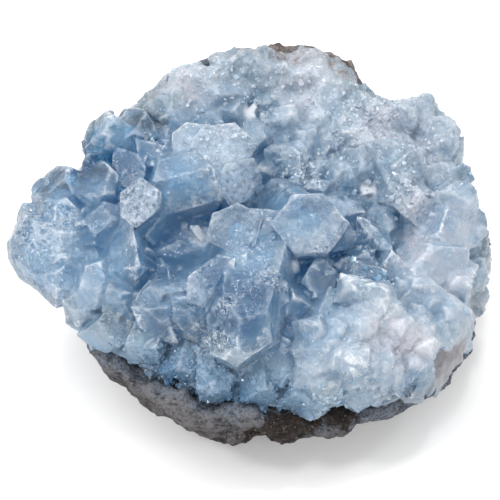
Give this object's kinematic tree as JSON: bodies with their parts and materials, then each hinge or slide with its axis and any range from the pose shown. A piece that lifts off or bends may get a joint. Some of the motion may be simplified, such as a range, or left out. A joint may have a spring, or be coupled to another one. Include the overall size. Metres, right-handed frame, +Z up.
{
  "type": "celestite geode",
  "caption": "Rough piece of a celestite geode: a bowl of grey-brown matrix rock filled and overgrown by pale blue blocky crystals.",
  "frame": {"origin": "on the surface it rests on, under the middle of the whole piece's box", "axes": "+Z up, +X along the longest extent towards the end with the small crystals, +Y to the raised back"},
  "size_m": [0.1208, 0.1046, 0.0539],
  "materials": {
    "rind": "rough weathered matrix rock with rust-brown stains",
    "crystal": "cloudy pale blue celestite with frosted faces and edges"
  },
  "bodies": {
    "root": {"rind": "rind", "crystal_crust": "crystal"}
  },
  "joints": []
}
